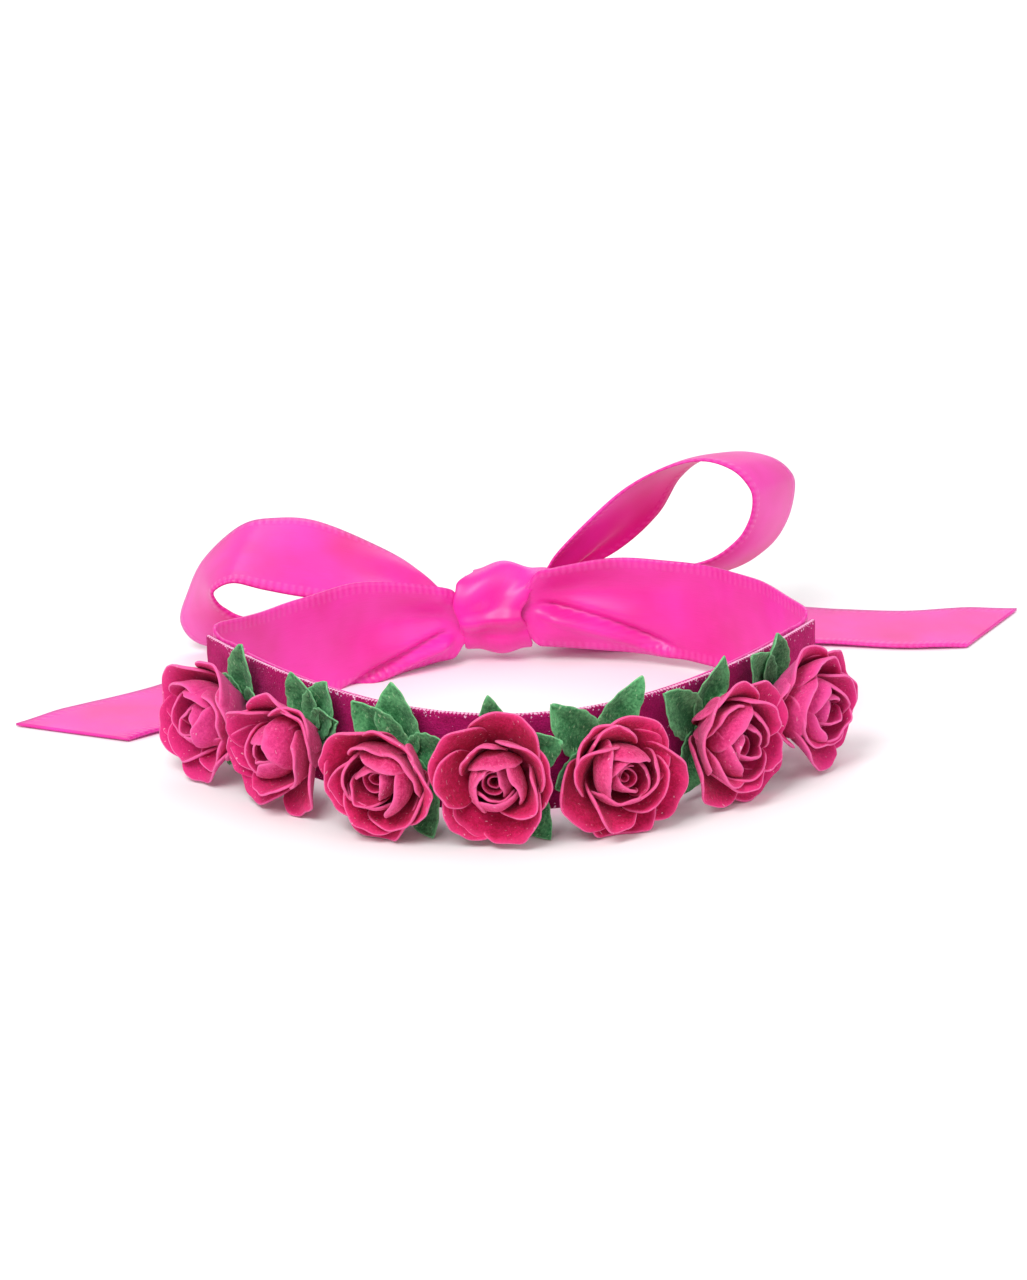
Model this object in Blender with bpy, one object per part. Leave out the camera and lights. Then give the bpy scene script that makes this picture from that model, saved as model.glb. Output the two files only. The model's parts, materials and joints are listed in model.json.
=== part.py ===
"""A flower crown: paper roses on a velvet band, tied behind with a satin ribbon bow.

Metres, +Z up. The crown lies on a table at z = 0 with its roses towards -Y and its bow towards +Y.
The origin is on the table, midway between the two ends of the velvet band.
"""

import math

import bmesh
import bpy
from mathutils import Matrix, Vector

# Overall sizes
BAND_HALF_SPAN = 0.0675  # from the middle plane to each end of the velvet band
BAND_DEPTH = 0.056  # how far the middle of the band stands ahead of its ends
KNOT_SETBACK = 0.052  # the knot's middle behind the band's ends
KNOT_SHIFT = -0.0033  # the knot's middle to the side of the middle plane

# Ribbons
VELVET_WIDTH = 0.022
VELVET_THICKNESS = 0.001
SATIN_WIDTH = 0.025
SATIN_THICKNESS = 0.0006
SATIN_OVERLAP = 0.012  # how far each satin tie runs in behind the velvet
LINING_WIDTH = 0.020
TIE_END_WIDTH_LEFT = 0.011  # the ties are pinched where they enter the knot
TIE_END_WIDTH_RIGHT = 0.016
TIE_BULGE_LEFT = 0.006
TIE_BULGE_RIGHT = 0.0150
TIE_FALL_LEFT = 0.0035  # how far the pinched end's middle is below the knot's middle
TIE_FALL_RIGHT = -0.001
TIE_DROP_LEFT = 1.0  # how far the tie sinks from the velvet's height to the table, as a share
TIE_DROP_RIGHT = 0.0
TIE_PINCH_LEFT = 0.62  # where the tie begins to narrow towards the knot, as a share of its length
TIE_PINCH_RIGHT = 0.42

# Roses
ROSE_WIDTH = 0.0265
ROSE_HEIGHT = 0.0284
ROSE_SPACES_LEFT = (0.0003, 0.0036, 0.0002)  # between neighbouring roses, from the middle one outwards
ROSE_SPACES_RIGHT = (0.0008, 0.0050, 0.0004)
ROSE_REACH = 0.0150  # from the velvet to where neighbouring roses meet
ROSE_END_SPACE = 0.008  # the least velvet past the middle of the last rose
MIDDLE_ROSE_SHIFT = -0.0025
PAPER_THICKNESS = 0.0008
CUP_DEPTH = 0.0110
HEART_RADIUS = 0.0088
HEART_DEPTH = 0.0132
BUD_RADIUS = 0.0044
BUD_LENGTH = 0.0124
LEAF_REACH = 0.0146
LEAF_CURL = 0.003
LEAF_SIDE_SHARE = 0.38  # a side leaf's reach, as a share of the rose's width
STEM_DIAMETER = 0.0012
STEM_LEG = 0.008  # the length of wire folded flat behind the velvet

# Knot and bow
KNOT_LENGTH = 0.0186
KNOT_DEPTH = 0.0104
KNOT_HEIGHT = 0.0162
WRAP_LENGTH = 0.0135
WRAP_WALL = 0.0014
KNOT_TABLE_SPACE = 0.0022  # from the table to the underside of the wrap
LOOP_REACH_LEFT = 0.0535  # from the loop's root to the far end of its near selvedge
LOOP_REACH_RIGHT = 0.0488
TAIL_REACH_LEFT = 0.086  # from the tail's root to the middle of its cut end
TAIL_REACH_RIGHT = 0.1058

# Fits
GAP = 0.0003
ROOT_GAP = 0.0011  # from the knot's ends to the loops and tails that turn beside them

VELVET_COLOUR = (0.19, 0.003, 0.055)
SATIN_COLOUR = (0.85, 0.035, 0.36)
ROSE_COLOUR = (0.60, 0.02, 0.13)
HEART_COLOUR = (0.72, 0.05, 0.20)
LEAF_COLOUR = (0.03, 0.20, 0.07)
WIRE_COLOUR = (0.10, 0.30, 0.12)

# What follows from those sizes
BAND_BEND = 2 * BAND_DEPTH / BAND_HALF_SPAN**2
ROSE_MIDDLE_Z = ROSE_HEIGHT / 2 + PAPER_THICKNESS / 2
STEM_LAYER = STEM_DIAMETER + 2 * GAP
LINING_OFFSET = -(VELVET_THICKNESS / 2 + STEM_LAYER + SATIN_THICKNESS / 2)
TABLE_SATIN = SATIN_THICKNESS / 2  # the middle of a ribbon that lies on the table


def clear_scene():
    for old in list(bpy.data.objects):
        bpy.data.objects.remove(old, do_unlink=True)


def make_material(name, colour, roughness):
    material = bpy.data.materials.new(name)
    material.use_nodes = True
    shader = material.node_tree.nodes["Principled BSDF"]
    shader.inputs["Base Color"].default_value = (*colour, 1)
    shader.inputs["Roughness"].default_value = roughness
    shader.inputs["Metallic"].default_value = 0
    return material


def add_object(name, data, material=None, parent=None):
    obj = bpy.data.objects.new(name, data)
    if material and not data.materials:
        data.materials.append(material)
    bpy.context.scene.collection.objects.link(obj)
    obj.parent = parent
    return obj


# The band's line in plan is a shallow arch, measured along its own length from the middle


def arc_length(x):
    slope = BAND_BEND * x
    return x / 2 * math.hypot(1, slope) + math.asinh(slope) / (2 * BAND_BEND)


def band_point(along, offset=0.0):
    """The point at this length along the band, moved outwards by offset, and the outward normal."""
    x = along
    for _ in range(30):
        x -= (arc_length(x) - along) / math.hypot(1, BAND_BEND * x)
    normal = Vector((BAND_BEND * x, -1, 0)).normalized()
    y = BAND_DEPTH * ((x / BAND_HALF_SPAN) ** 2 - 1)
    return Vector((x, y, 0)) + normal * offset, normal


def rose_places():
    """The length along the band of each rose, set side by side from the middle one."""
    def next_place(start, way, space):
        here, _ = band_point(start, ROSE_REACH)
        near, far = start, start + way * 2 * ROSE_WIDTH
        for _ in range(40):
            middle = (near + far) / 2
            there, _ = band_point(middle, ROSE_REACH)
            if (there - here).length < ROSE_WIDTH + space:
                near = middle
            else:
                far = middle
        return near

    places = [MIDDLE_ROSE_SHIFT]
    for space in ROSE_SPACES_RIGHT:
        places.append(next_place(places[-1], 1, space))
    for space in ROSE_SPACES_LEFT:
        places.insert(0, next_place(places[0], -1, space))
    return places


# The velvet reaches its span, or as far as the roses need, and the knot is set back from its ends
BAND_HALF_LENGTH = max(arc_length(BAND_HALF_SPAN), max(map(abs, rose_places())) + ROSE_END_SPACE)
BAND_END, _ = band_point(BAND_HALF_LENGTH)
KNOT_MIDDLE_Z = KNOT_TABLE_SPACE + WRAP_WALL + GAP + KNOT_HEIGHT / 2
KNOT_MIDDLE = Vector((KNOT_SHIFT, BAND_END.y + KNOT_SETBACK, KNOT_MIDDLE_Z))


def smooth_line(points, steps):
    """A smooth line through the points, with this many steps between neighbours."""
    ends = [points[0] * 2 - points[1], *points, points[-1] * 2 - points[-2]]
    line = []
    for a, b, c, d in zip(ends, ends[1:], ends[2:], ends[3:]):
        for t in (step / steps for step in range(steps)):
            linear = (c - a) * t
            square = (2 * a - 5 * b + 4 * c - d) * t**2
            cube = (3 * b - a - 3 * c + d) * t**3
            line.append(b + (linear + square + cube) / 2)
    return [*line, points[-1]]


# Ribbons: a row of points across the ribbon is extruded along it


def ribbon_mesh(name, edges, columns):
    """A sheet whose two selvedges follow the pairs of points in edges."""
    maker = bmesh.new()
    shares = [column / columns for column in range(columns + 1)]
    row = [maker.verts.new(edges[0][0].lerp(edges[0][1], share)) for share in shares]
    line = [maker.edges.new(pair) for pair in zip(row, row[1:])]
    for (old_near, old_far), (near, far) in zip(edges, edges[1:]):
        made = bmesh.ops.extrude_edge_only(maker, edges=line)["geom"]
        line = [piece for piece in made if isinstance(piece, bmesh.types.BMEdge)]
        across = old_far - old_near
        row = sorted({vert for edge in line for vert in edge.verts}, key=lambda v: v.co.dot(across))
        for vert, share in zip(row, shares):
            vert.co = near.lerp(far, share)
    bmesh.ops.recalc_face_normals(maker, faces=maker.faces)
    mesh = bpy.data.meshes.new(name)
    maker.to_mesh(mesh)
    maker.free()
    mesh.shade_smooth()
    return mesh


def add_thickness(obj, thickness):
    wall = obj.modifiers.new("thickness", "SOLIDIFY")
    wall.thickness = thickness
    wall.offset = 0
    wall.use_even_offset = True


def add_ribbon(name, edges, thickness, material, columns=1, pivot=None):
    mesh = ribbon_mesh(name, edges, columns)
    ribbon = add_object(name, mesh, material)
    if pivot is not None:
        mesh.transform(Matrix.Translation(-pivot))
        ribbon.location = pivot
    add_thickness(ribbon, thickness)
    return ribbon


def band_edges(first, last, offset, middle_z, width, rows):
    """Selvedges of a ribbon that follows the band between two lengths along it."""
    edges = []
    for row in range(rows + 1):
        point, _ = band_point(first + (last - first) * row / rows, offset)
        low, high = (Vector((point.x, point.y, middle_z + side * width / 2)) for side in (-1, 1))
        edges.append((low, high))
    return edges


def add_velvet_band(material):
    edges = band_edges(-BAND_HALF_LENGTH, BAND_HALF_LENGTH, 0, ROSE_MIDDLE_Z, VELVET_WIDTH, rows=44)
    return add_ribbon("velvet_band", edges, VELVET_THICKNESS, material)


def add_lining(material):
    end = BAND_HALF_LENGTH - SATIN_OVERLAP - GAP
    edges = band_edges(-end, end, LINING_OFFSET, ROSE_MIDDLE_Z, LINING_WIDTH, rows=40)
    add_ribbon("satin_lining", edges, SATIN_THICKNESS, material)


def add_strap(name, side, bulge, end_width, end_fall, sink, narrowing, material):
    """A tie from behind the band's end, round its corner and back to the knot."""
    inside, _ = band_point(side * (BAND_HALF_LENGTH - SATIN_OVERLAP), LINING_OFFSET)
    tucked, _ = band_point(side * (BAND_HALF_LENGTH - SATIN_OVERLAP / 2), LINING_OFFSET)
    corner, _ = band_point(side * (BAND_HALF_LENGTH + 3 * GAP), LINING_OFFSET * 0.8)
    root_x = KNOT_MIDDLE.x + side * (KNOT_LENGTH / 2 + GAP + SATIN_THICKNESS)
    root = Vector((root_x, KNOT_MIDDLE.y - KNOT_DEPTH / 2, 0))
    run = root - corner
    outward = Vector((side * abs(run.y), abs(run.x), 0)).normalized()
    shares = (0.12, 0.3, 0.5, 0.7, 0.86)
    back = [corner + run * share + outward * bulge * math.sin(math.pi * share) for share in shares]
    line = smooth_line([inside, tucked, corner, *back, root], 4)
    last = len(line) - 1
    edges = []
    for row, point in enumerate(line):
        drop = sink * min(1, max(0, (row / last - 0.25) / 0.2))
        pinch = max(0, (row / last - narrowing) / (1 - narrowing)) ** 1.5
        width = SATIN_WIDTH + (end_width - SATIN_WIDTH) * pinch
        resting = ROSE_MIDDLE_Z + (SATIN_WIDTH / 2 - ROSE_MIDDLE_Z) * drop
        middle_z = resting + (KNOT_MIDDLE.z - end_fall - resting) * pinch
        low, high = (Vector((point.x, point.y, middle_z + way * width / 2)) for way in (-1, 1))
        edges.append((low, high))
    add_ribbon(name, edges, SATIN_THICKNESS, material)


# Loops: each station is the ribbon's middle, as shares of the loop's reach from its root (along,
# back, up), then the direction across the ribbon (along, back, up) and the share of its width.
# A loop leaves the knot, turns at its far end and comes back under itself.

LEFT_LOOP = (
    ((0.015, 0.0, 0.03), (0, 1, 0), 0.28),
    ((0.15, 0.0, 0.13), (0, 0.93, 0.36), 0.56),
    ((0.355, 0.02, 0.200), (0, 0.92, 0.39), 0.82),
    ((0.60, 0.035, 0.258), (-0.08, 0.88, 0.46), 0.96),
    ((0.775, 0.035, 0.284), (-0.10, 0.91, 0.36), 1),
    ((0.92, 0.04, 0.285), (-0.05, 0.96, 0.21), 1),
    ((1.045, 0.045, 0.195), (0.13, 0.985, -0.02), 1),
    ((1.083, 0.035, 0.10), (0.30, 0.92, -0.23), 1),
    ((1.08, 0.02, 0.012), (0.45, 0.80, -0.40), 1),
    ((0.985, 0.01, -0.058), (0.42, 0.75, -0.50), 1),
    ((0.745, 0.01, -0.072), (0.30, 0.78, -0.46), 0.96),
    ((0.43, 0.005, -0.065), (0.12, 0.84, -0.40), 0.80),
    ((0.17, 0.0, -0.042), (0, 0.90, -0.32), 0.56),
    ((0.015, 0.0, -0.03), (0, 1, 0), 0.28),
)
RIGHT_LOOP = (
    ((0.017, 0.0, 0.04), (0, 1, 0), 0.30),
    ((0.185, 0.055, 0.135), (0.60, 0.77, -0.24), 0.66),
    ((0.385, 0.11, 0.30), (0.63, 0.75, -0.18), 0.92),
    ((0.55, 0.15, 0.455), (0.54, 0.83, -0.15), 1),
    ((0.70, 0.155, 0.548), (0.43, 0.89, -0.16), 1),
    ((0.87, 0.15, 0.580), (0.38, 0.90, -0.20), 1),
    ((1.02, 0.148, 0.540), (0.39, 0.89, -0.19), 1),
    ((1.105, 0.15, 0.460), (0.40, 0.90, -0.17), 1),
    ((1.125, 0.15, 0.380), (0.40, 0.90, -0.17), 1),
    ((1.095, 0.145, 0.250), (0.38, 0.88, -0.28), 1),
    ((1.015, 0.14, 0.135), (0.33, 0.87, -0.36), 1),
    ((0.85, 0.14, 0.036), (0.28, 0.88, -0.38), 1),
    ((0.54, 0.12, -0.010), (0.20, 0.90, -0.36), 0.88),
    ((0.24, 0.05, -0.04), (0.10, 0.93, -0.30), 0.58),
    ((0.017, 0.0, -0.03), (0, 1, 0), 0.28),
)


def add_loop(name, side, stations, reach, rise, setback, material):
    """A bow loop beside the knot, made about the level line that it turns on."""
    root_x = KNOT_MIDDLE.x + side * (KNOT_LENGTH / 2 + ROOT_GAP)
    pivot = Vector((root_x, KNOT_MIDDLE.y + setback, KNOT_MIDDLE.z + rise))
    middles, halves = [], []
    for (along, back, up), (across_x, across_y, across_z), share in stations:
        across = Vector((side * across_x, across_y, across_z)).normalized()
        middles.append(pivot + Vector((side * along, back, up)) * reach)
        halves.append(across * share * SATIN_WIDTH / 2)
    rows = zip(smooth_line(middles, 3), smooth_line(halves, 3))
    edges = [(middle - half, middle + half) for middle, half in rows]
    add_ribbon(name, edges, SATIN_THICKNESS, material, columns=2, pivot=pivot)


# Tails: each station is the ribbon's middle, as shares of the tail's reach from its root (along,
# back), its height above the table and the share of its width

LEFT_TAIL = (
    (0.0, 0.0, 0.0062, 0.28),
    (0.07, 0.022, 0.0026, 0.48),
    (0.16, 0.03, 0.0005, 0.72),
    (0.315, -0.02, 0, 0.94),
    (0.48, -0.13, 0, 1),
    (0.63, -0.25, 0, 1),
    (0.73, -0.335, 0, 1),
    (0.87, -0.445, 0, 1),
    (1.0, -0.54, 0, 1),
)
RIGHT_TAIL = (
    (0.0, 0.0, 0.0062, 0.28),
    (0.06, 0.03, 0.0026, 0.48),
    (0.16, 0.07, 0.0005, 0.72),
    (0.32, 0.12, 0, 0.94),
    (0.50, 0.125, 0, 1),
    (0.66, 0.105, 0, 1),
    (0.82, 0.075, 0, 1),
    (1.0, 0.075, 0, 1),
)
TAIL_CUT = 0.28  # how far the slanted cut leads at the far selvedge, as a share of the width


def add_tail(name, side, stations, reach, material):
    """A tail that comes down from the knot and lies flat, made about the upright line it sweeps on."""
    root_x = KNOT_MIDDLE.x + side * (KNOT_LENGTH / 2 + ROOT_GAP)
    pivot = Vector((root_x, KNOT_MIDDLE.y + KNOT_DEPTH / 5, 0))
    middles, widths = [], []
    for along, back, height, share in stations:
        middles.append(pivot + Vector((side * along * reach, back * reach, TABLE_SATIN + height)))
        widths.append(Vector((share * SATIN_WIDTH, 0, 0)))
    middles, widths = smooth_line(middles, 3), smooth_line(widths, 3)
    edges = []
    for row, (middle, width) in enumerate(zip(middles, widths)):
        middle.z = max(middle.z, TABLE_SATIN)
        ahead = middles[min(row + 1, len(middles) - 1)] - middles[max(row - 1, 0)]
        ahead.z = 0
        ahead.normalize()
        across = Vector((0, 0, side)).cross(ahead)
        half = across * width.x / 2
        cut = ahead * TAIL_CUT * SATIN_WIDTH * max(0, row / (len(middles) - 1) * 4 - 3)
        edges.append((middle - half - cut, middle + half + cut))
    add_ribbon(name, edges, SATIN_THICKNESS, material, columns=2, pivot=pivot)


# The knot: a pinched core and the turn of ribbon wrapped round it


def lathe_mesh(name, profile, segments, scale=(1, 1, 1)):
    """A closed profile of (radius, height) points turned about Z, then stretched."""
    maker = bmesh.new()
    outline = [maker.verts.new((radius, 0, height)) for radius, height in profile]
    edges = [maker.edges.new(pair) for pair in zip(outline, outline[1:])]
    if profile[0][0] > 0:
        edges.append(maker.edges.new((outline[-1], outline[0])))
    bmesh.ops.spin(maker, geom=outline + edges, cent=(0, 0, 0), axis=(0, 0, 1),
                   angle=math.tau, steps=segments, use_merge=True)
    bmesh.ops.remove_doubles(maker, verts=maker.verts, dist=1e-6)
    bmesh.ops.scale(maker, vec=scale, verts=maker.verts)
    bmesh.ops.recalc_face_normals(maker, faces=maker.faces)
    mesh = bpy.data.meshes.new(name)
    maker.to_mesh(mesh)
    maker.free()
    mesh.shade_smooth()
    mesh.set_sharp_from_angle(angle=math.radians(50))
    return mesh


def add_knot(material):
    """Core and wrap are both turned about the knot's level line, then flattened from front to back."""
    half, length = KNOT_HEIGHT / 2, KNOT_LENGTH / 2
    waist = half - GAP
    core = [(0, length), (waist * 0.72, length), (half, length * 0.8), (waist * 0.9, length * 0.4)]
    core += [(radius, -height) for radius, height in reversed(core)]
    flatten = KNOT_DEPTH / KNOT_HEIGHT
    pose = Matrix.Translation(KNOT_MIDDLE) @ Matrix.Rotation(math.pi / 2, 4, "Y")
    obj = add_object("knot_core", lathe_mesh("knot_core", core, 20, (1, flatten, 1)), material)
    obj.matrix_world = pose
    inner = half + GAP / flatten
    outer = inner + WRAP_WALL
    width = WRAP_LENGTH / 2
    wrap = [(inner, -width), (outer - WRAP_WALL / 3, -width), (outer, -width / 2), (outer, width / 2)]
    wrap += [(outer - WRAP_WALL / 3, width), (inner, width)]
    obj = add_object("knot_wrap", lathe_mesh("knot_wrap", wrap, 24, (1, flatten, 1)), material)
    obj.matrix_world = pose


# Roses: made about +Z, which points away from the band, with +Y upwards


def cup_mesh(name, rings, lobes, segments, curl=0):
    """An open cup about Z. Each ring is (radius, height, how deep its edge is scalloped).

    With a curl, every point rises from its ring's height by the square of its reach instead.
    """
    maker = bmesh.new()
    radius, height, _ = rings[0]
    made = bmesh.ops.create_circle(maker, radius=radius, segments=segments, cap_ends=False)
    line = list({edge for vert in made["verts"] for edge in vert.link_edges})
    bmesh.ops.translate(maker, vec=(0, 0, height), verts=made["verts"])
    for radius, height, scallop in rings[1:]:
        made = bmesh.ops.extrude_edge_only(maker, edges=line)["geom"]
        line = [piece for piece in made if isinstance(piece, bmesh.types.BMEdge)]
        for vert in {vert for edge in line for vert in edge.verts}:
            angle = math.atan2(vert.co.y, vert.co.x)
            reach = radius * (1 - scallop * (0.5 - 0.5 * math.cos(lobes * (angle - math.pi / 2))))
            rise = curl * (reach / rings[-1][0]) ** 2
            vert.co = (reach * math.cos(angle), reach * math.sin(angle), height + rise)
    bmesh.ops.scale(maker, vec=(ROSE_WIDTH / ROSE_HEIGHT, 1, 1), verts=maker.verts)
    bmesh.ops.recalc_face_normals(maker, faces=maker.faces)
    mesh = bpy.data.meshes.new(name)
    maker.to_mesh(mesh)
    maker.free()
    mesh.shade_smooth()
    return mesh


def leaf_mesh(name):
    """Five pointed leaves joined round the stem, pulled in at the sides to clear the next rose's."""
    hole = STEM_DIAMETER / 2 + GAP
    tip = LEAF_REACH
    foot = GAP + PAPER_THICKNESS / 2
    rings = [(hole, foot, 0), (tip * 0.3, foot, 0.12), (tip * 0.68, foot, 0.55), (tip, foot, 0.68)]
    mesh = cup_mesh(name, rings, lobes=5, segments=20, curl=LEAF_CURL)
    side = ROSE_WIDTH * LEAF_SIDE_SHARE
    widest = max(abs(vert.co.x) for vert in mesh.vertices)
    for vert in mesh.vertices:
        if abs(vert.co.x) > hole:
            vert.co.x *= min(1, side / widest)
    return mesh


def rose_meshes():
    """The meshes that every rose shares, from the band outwards."""
    hole = STEM_DIAMETER / 2 + GAP
    step = PAPER_THICKNESS + GAP
    rim = ROSE_HEIGHT / 2 - PAPER_THICKNESS / 2
    cup_foot = GAP + PAPER_THICKNESS / 2 + step
    heart_foot = cup_foot + step + GAP
    bud_foot = heart_foot + PAPER_THICKNESS / 2 + 2 * GAP
    cup = [(hole, cup_foot, 0), (rim * 0.45, cup_foot + CUP_DEPTH * 0.2, 0)]
    cup += [(rim * 0.8, cup_foot + CUP_DEPTH * 0.62, 0.03), (rim, cup_foot + CUP_DEPTH, 0.09)]
    heart = [(hole, heart_foot, 0), (HEART_RADIUS * 0.55, heart_foot + HEART_DEPTH * 0.20, 0)]
    heart += [(HEART_RADIUS * 0.87, heart_foot + HEART_DEPTH * 0.7, 0.03)]
    heart += [(HEART_RADIUS, heart_foot + HEART_DEPTH, 0.08)]
    bud_top = bud_foot + BUD_LENGTH
    socket = bud_foot + BUD_LENGTH * 0.35
    bud = [(0, bud_top), (BUD_RADIUS * 0.55, bud_top - BUD_LENGTH * 0.05), (BUD_RADIUS, bud_top - BUD_LENGTH * 0.3)]
    bud += [(BUD_RADIUS * 0.85, bud_foot + BUD_LENGTH * 0.3), (hole * 1.6, bud_foot), (hole, bud_foot)]
    bud += [(hole, socket), (0, socket)]
    meshes = {
        "calyx": leaf_mesh("calyx"),
        "outer_petals": cup_mesh("outer_petals", cup, lobes=5, segments=25),
        "inner_petals": cup_mesh("inner_petals", heart, lobes=4, segments=20),
        "bud": lathe_mesh("bud", bud, segments=10),
    }
    return meshes, socket - GAP


def stem_curve(name, along, frame, top):
    """The wire: through the velvet, round a small bend, and flat along the velvet's back."""
    towards_middle = -1 if along > 0 else 1
    layer = -(VELVET_THICKNESS / 2 + GAP + STEM_DIAMETER / 2)
    back = frame.inverted()
    points = [Vector((0, 0, top)), Vector((0, 0, top / 2)), Vector((0, 0, layer / 4))]
    bend = STEM_DIAMETER * 0.85
    for turn in (30, 60):
        angle = math.radians(turn)
        across = towards_middle * bend * (1 - math.cos(angle))
        points.append(Vector((across, 0, layer + bend * (1 - math.sin(angle)))))
    for step in range(4):
        point, _ = band_point(along + towards_middle * (bend + STEM_LEG * step / 3), layer)
        points.append(back @ Vector((point.x, point.y, ROSE_MIDDLE_Z)))
    curve = bpy.data.curves.new(name, "CURVE")
    curve.dimensions = "3D"
    curve.bevel_depth = STEM_DIAMETER / 2
    curve.bevel_resolution = 1
    curve.use_fill_caps = True
    spline = curve.splines.new("POLY")
    spline.points.add(len(points) - 1)
    for target, point in zip(spline.points, points):
        target.co = (*point, 1)
    return curve


def add_roses(band, materials):
    meshes, stem_top = rose_meshes()
    for number, along in enumerate(rose_places(), start=1):
        point, normal = band_point(along, VELVET_THICKNESS / 2)
        side = Vector((0, 0, 1)).cross(normal)
        frame = Matrix.Translation((point.x, point.y, ROSE_MIDDLE_Z))
        frame @= Matrix((side, (0, 0, 1), normal)).transposed().to_4x4()
        mount = add_object(f"rose_{number}_mount", None)
        mount.matrix_world = frame
        for piece, mesh in meshes.items():
            add_object(f"rose_{number}_{piece}", mesh, materials[piece], mount)
            if piece != "bud":
                add_thickness(bpy.data.objects[f"rose_{number}_{piece}"], PAPER_THICKNESS)
        name = f"rose_{number}_stem"
        add_object(name, stem_curve(name, along, frame, stem_top), materials["stem"], mount)
        cut_stem_hole(band, number, frame)


def cut_stem_hole(band, number, frame):
    name = f"stem_hole_{number}"
    maker = bmesh.new()
    bmesh.ops.create_cone(maker, cap_ends=True, segments=12, radius1=STEM_DIAMETER / 2 + GAP,
                          radius2=STEM_DIAMETER / 2 + GAP, depth=4 * VELVET_THICKNESS)
    mesh = bpy.data.meshes.new(name)
    maker.to_mesh(mesh)
    maker.free()
    cutter = add_object(name, mesh)
    cutter.matrix_world = frame
    cutter.hide_render = True
    cutter.display_type = "WIRE"
    hole = band.modifiers.new(name, "BOOLEAN")
    hole.operation = "DIFFERENCE"
    hole.solver = "EXACT"
    hole.object = cutter


def build():
    clear_scene()
    velvet = make_material("velvet", VELVET_COLOUR, 0.85)
    satin = make_material("satin", SATIN_COLOUR, 0.35)
    petals = make_material("petal_paper", ROSE_COLOUR, 0.85)
    leaf = make_material("leaf_paper", LEAF_COLOUR, 0.85)
    rose_materials = {
        "calyx": leaf,
        "outer_petals": petals,
        "inner_petals": make_material("heart_paper", HEART_COLOUR, 0.85),
        "bud": make_material("bud_paper", HEART_COLOUR, 0.85),
        "stem": make_material("stem_wire", WIRE_COLOUR, 0.7),
    }
    band = add_velvet_band(velvet)
    add_lining(satin)
    add_strap("strap_left", -1, TIE_BULGE_LEFT, TIE_END_WIDTH_LEFT, TIE_FALL_LEFT, TIE_DROP_LEFT,
              TIE_PINCH_LEFT, satin)
    add_strap("strap_right", 1, TIE_BULGE_RIGHT, TIE_END_WIDTH_RIGHT, TIE_FALL_RIGHT, TIE_DROP_RIGHT,
              TIE_PINCH_RIGHT, satin)
    add_knot(satin)
    add_loop("loop_left", -1, LEFT_LOOP, LOOP_REACH_LEFT, -0.001, 0.0, satin)
    add_loop("loop_right", 1, RIGHT_LOOP, LOOP_REACH_RIGHT, 0.0045, 0.002, satin)
    add_tail("tail_left", -1, LEFT_TAIL, TAIL_REACH_LEFT, satin)
    add_tail("tail_right", 1, RIGHT_TAIL, TAIL_REACH_RIGHT, satin)
    add_roses(band, rose_materials)


build()
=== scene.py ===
"""The looks of a flower crown: paper roses on a velvet band, tied behind with a satin ribbon bow.

Metres, +Z up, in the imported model's own frame. The roses face -Y and the bow lies towards +Y.
"""

import itertools
import json
import logging
import math
import random
from collections.abc import Callable, Sequence
from dataclasses import dataclass, field, replace
from enum import Enum

import bmesh
import bpy
from mathutils import Matrix, Vector, noise


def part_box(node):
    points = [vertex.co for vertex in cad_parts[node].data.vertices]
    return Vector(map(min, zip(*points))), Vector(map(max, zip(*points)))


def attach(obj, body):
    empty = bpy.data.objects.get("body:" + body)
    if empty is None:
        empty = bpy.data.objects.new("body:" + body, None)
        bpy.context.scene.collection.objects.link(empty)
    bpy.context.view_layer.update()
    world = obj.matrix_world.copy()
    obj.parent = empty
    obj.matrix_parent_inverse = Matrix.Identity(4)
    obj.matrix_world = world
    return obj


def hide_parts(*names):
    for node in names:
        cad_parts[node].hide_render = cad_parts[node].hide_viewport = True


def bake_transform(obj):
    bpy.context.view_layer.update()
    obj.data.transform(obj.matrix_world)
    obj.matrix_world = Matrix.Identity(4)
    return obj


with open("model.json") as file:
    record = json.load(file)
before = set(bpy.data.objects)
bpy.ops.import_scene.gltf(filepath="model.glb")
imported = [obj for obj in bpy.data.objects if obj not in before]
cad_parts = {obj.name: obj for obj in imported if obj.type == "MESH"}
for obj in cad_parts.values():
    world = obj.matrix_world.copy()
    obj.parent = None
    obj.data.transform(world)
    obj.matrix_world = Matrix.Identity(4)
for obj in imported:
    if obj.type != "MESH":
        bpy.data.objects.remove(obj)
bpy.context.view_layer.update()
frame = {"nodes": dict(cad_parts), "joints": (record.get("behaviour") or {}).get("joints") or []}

log = logging.getLogger("flower_crown")

Place = Callable[[float, float], Vector]
Edges = list[tuple[Vector, Vector]]
Colour = tuple[float, float, float, float]
Finish = bpy.types.Material
Socket = bpy.types.NodeSocket
Piece = bpy.types.Object
Station = tuple[tuple[float, float, float], tuple[float, float, float], float]
FlatStation = tuple[float, float, float, float]


class Side(Enum):
    """The wearer-independent side of the crown, as its sign along X."""

    LEFT = -1
    RIGHT = 1


class Cloth(Enum):
    """The ribbons' widths, in metres."""

    VELVET = 0.022
    SATIN = 0.025
    LINING = 0.020


# Shaping helpers


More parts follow.
